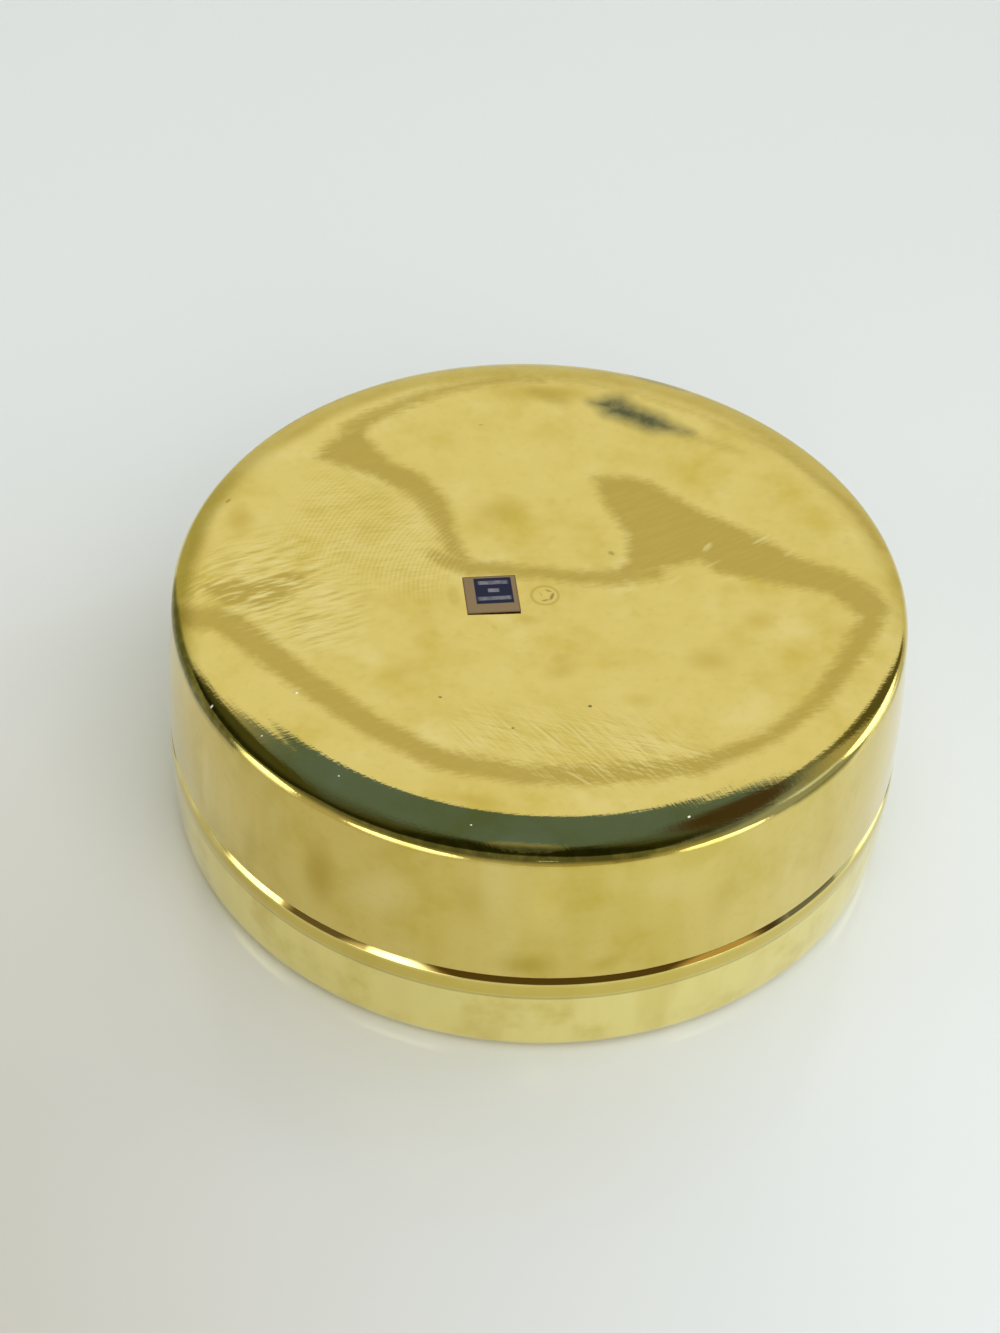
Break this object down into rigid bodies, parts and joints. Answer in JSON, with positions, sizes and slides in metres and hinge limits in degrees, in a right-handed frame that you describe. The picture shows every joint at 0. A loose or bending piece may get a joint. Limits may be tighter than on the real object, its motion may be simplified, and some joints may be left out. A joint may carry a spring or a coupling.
{
  "type": "trinket box",
  "caption": "Low round spun brass trinket box with a lift-off lid over an inner neck collar, shown turned over on its lid with its dished underside up.",
  "frame": {"origin": "on the box's axis, in the plane of the lid's outer face, which is down as in the picture", "axes": "+Z runs from the lid's outer face up through the box to the underside of the base, so the box is turned over; -Y is the side that the picture shows; +X is to the right in the picture"},
  "size_m": [0.127, 0.127, 0.0477],
  "materials": {
    "lid_brass": "polished, lightly tarnished",
    "base_brass": "polished, lightly tarnished",
    "collar_brass": "satin, as turned",
    "sticker_film": "clear film printed with a plain dark blue square"
  },
  "bodies": {
    "lid": {"lid_shell": "lid_brass"},
    "base": {"base_shell": "base_brass", "neck_collar": "collar_brass", "origin_sticker": "sticker_film"}
  },
  "joints": [
    {"name": "base_lift", "type": "slide", "parent": "lid", "child": "base", "axis": [0, 0, 1], "range_m": [0, 0.08]}
  ]
}
